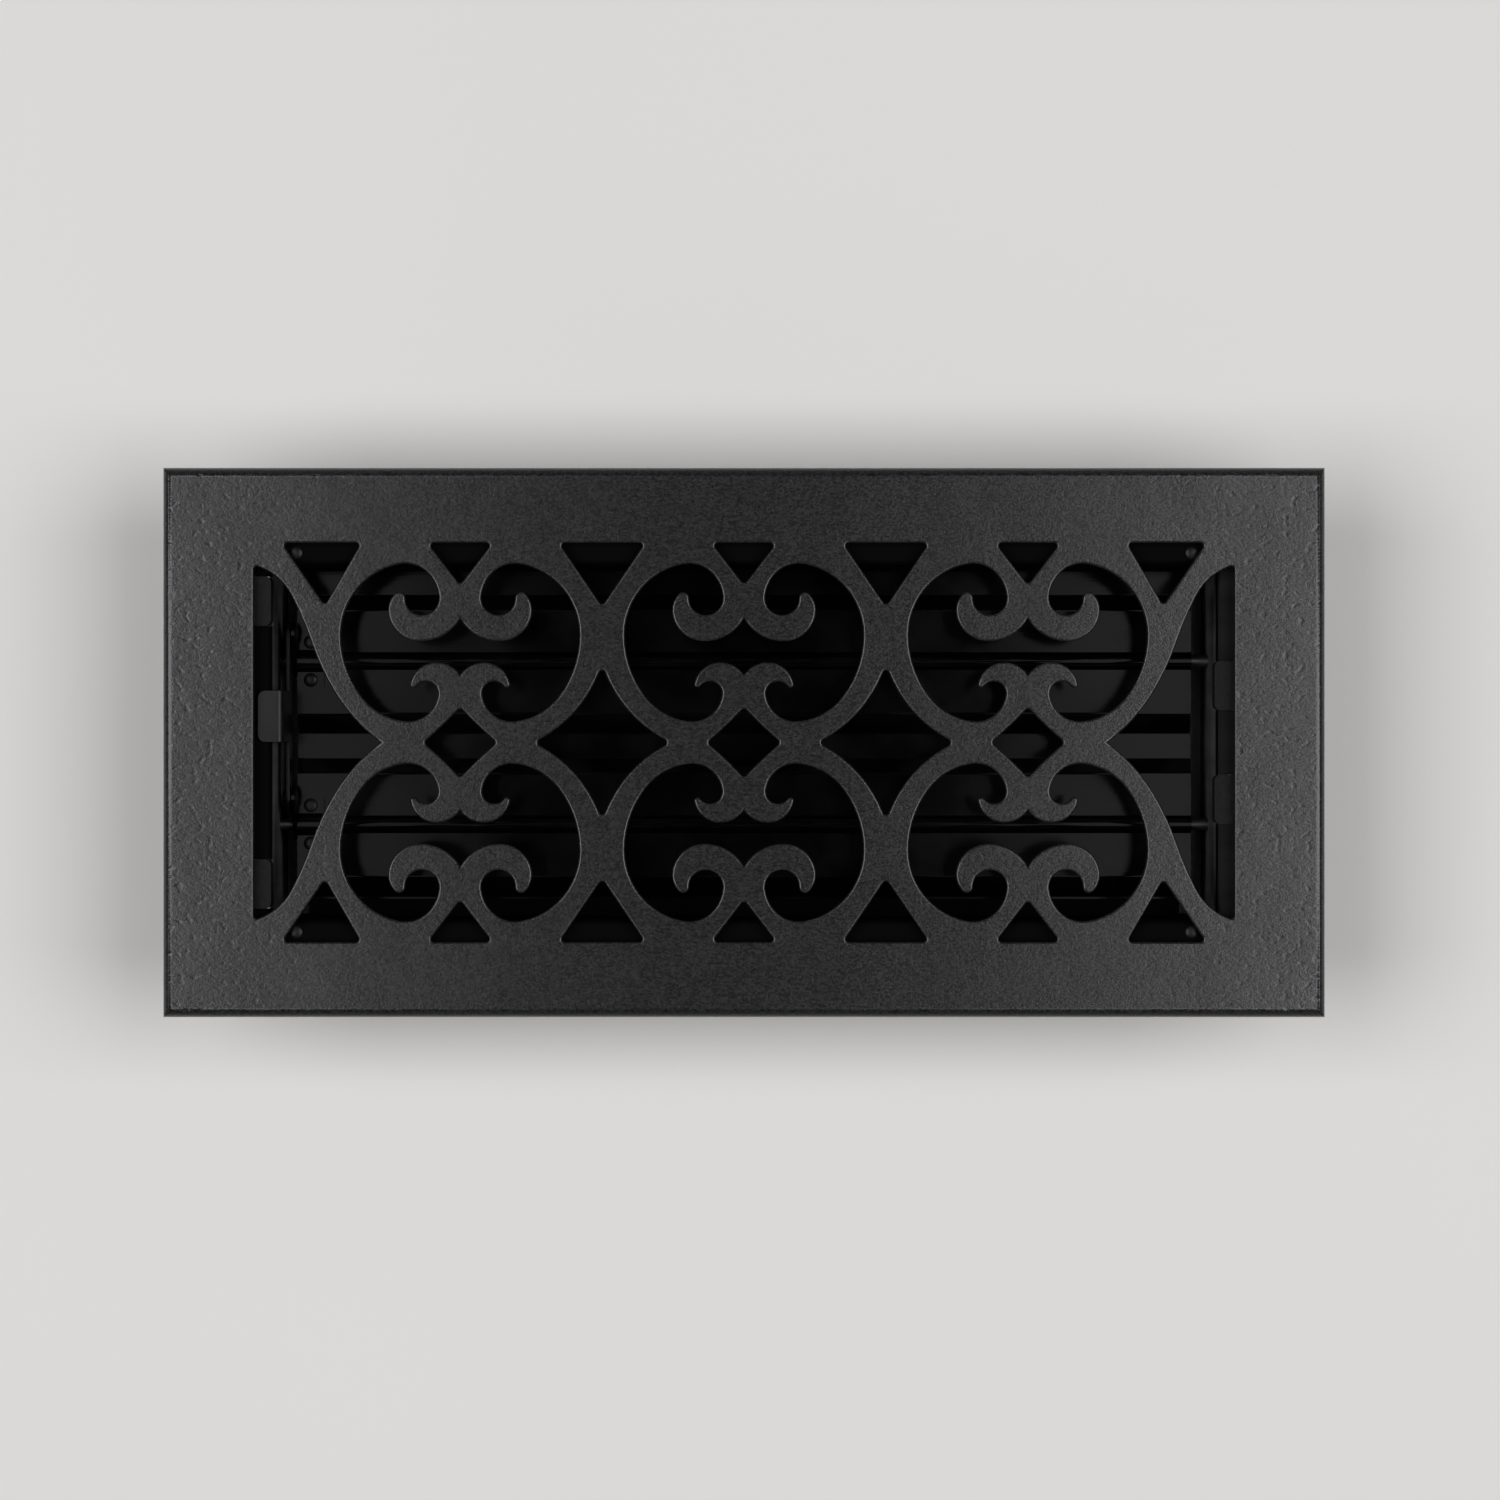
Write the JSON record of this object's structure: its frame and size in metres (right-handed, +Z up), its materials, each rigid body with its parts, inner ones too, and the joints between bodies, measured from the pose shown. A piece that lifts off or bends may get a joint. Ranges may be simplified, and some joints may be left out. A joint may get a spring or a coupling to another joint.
{
  "type": "floor vent register",
  "caption": "Cast-iron floor register with a pierced scroll face over a sheet-steel damper box, whose lapped blades are opened and closed together by a thumb lever.",
  "frame": {"origin": "centre of the face, in the plane of the floor that the rim rests on", "axes": "+X along the face, away from the lever end; +Y across the face; +Z up out of the floor"},
  "size_m": [0.2954, 0.1396, 0.0516],
  "materials": {
    "black_cast_iron": "satin black powder coat over sand-cast iron",
    "black_sheet_steel": "semi-gloss black paint",
    "zinc_steel": "dull zinc plate"
  },
  "bodies": {
    "register": {"face_grille": "black_cast_iron", "side_wall_rear": "black_sheet_steel", "side_wall_front": "black_sheet_steel", "end_wall_left": "black_sheet_steel", "end_wall_right": "black_sheet_steel", "corner_rivets": "black_sheet_steel", "fixing_screws": "zinc_steel"},
    "rear_blade": {"blade_rear": "black_sheet_steel", "pivot_rod_rear": "zinc_steel", "rod_caps_rear": "zinc_steel", "crank_rear": "black_sheet_steel", "crank_rivets_rear": "black_sheet_steel", "link_pin_rear": "black_sheet_steel"},
    "front_blade": {"blade_front": "black_sheet_steel", "pivot_rod_front": "zinc_steel", "rod_caps_front": "zinc_steel", "crank_front": "black_sheet_steel", "crank_rivets_front": "black_sheet_steel", "link_pin_front": "black_sheet_steel"},
    "lever": {"lever_link": "black_sheet_steel"}
  },
  "joints": [
    {"name": "rear_blade_turn", "type": "hinge", "parent": "register", "child": "rear_blade", "pos_m": [0, 0.0212, -0.025], "axis": [1, 0, 0], "range_deg": [0, 85]},
    {"name": "front_blade_turn", "type": "hinge", "parent": "register", "child": "front_blade", "pos_m": [0, -0.0212, -0.025], "axis": [1, 0, 0], "range_deg": [0, 85]},
    {"name": "lever_link_pivot", "type": "hinge", "parent": "rear_blade", "child": "lever", "pos_m": [0, 0.0282, -0.018], "axis": [1, 0, 0], "range_deg": [-85, 0]}
  ],
  "couplings": [
    {"joint": "front_blade_turn", "follows": "rear_blade_turn", "ratio": 1},
    {"joint": "lever_link_pivot", "follows": "rear_blade_turn", "ratio": -1}
  ]
}
